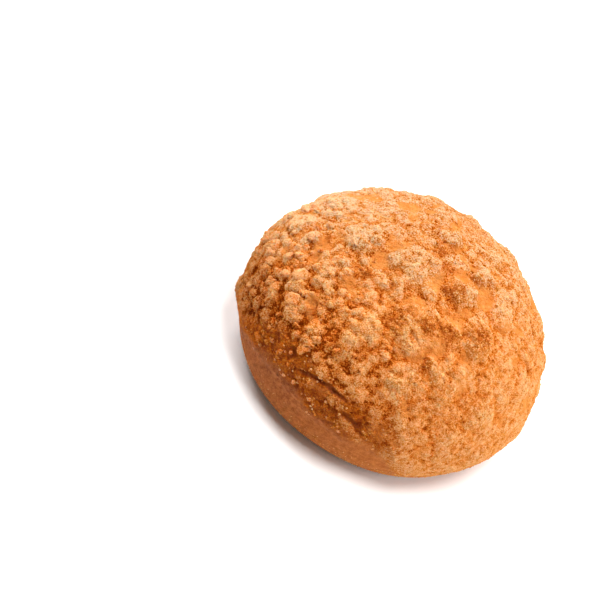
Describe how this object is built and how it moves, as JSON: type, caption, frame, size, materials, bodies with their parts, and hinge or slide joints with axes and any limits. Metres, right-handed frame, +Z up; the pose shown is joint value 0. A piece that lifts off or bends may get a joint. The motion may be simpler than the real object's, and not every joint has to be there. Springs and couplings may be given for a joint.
{
  "type": "crumb-topped bun",
  "caption": "Round domed yeast bun with a flat base and a rough baked-on coat of butter crumble that leaves part of the side bare.",
  "frame": {"origin": "the middle of the flat base that the bun rests on", "axes": "+Z up out of the crown, and the bare side of the crust faces about -Y"},
  "size_m": [0.1028, 0.1006, 0.0597],
  "materials": {
    "crumb_crust": "baked bread crust under butter crumble: pale tan, grainy clumps over golden orange dough, and smooth matte brown crust where the side is bare"
  },
  "bodies": {
    "root": {"crumb_bun": "crumb_crust"}
  },
  "joints": []
}
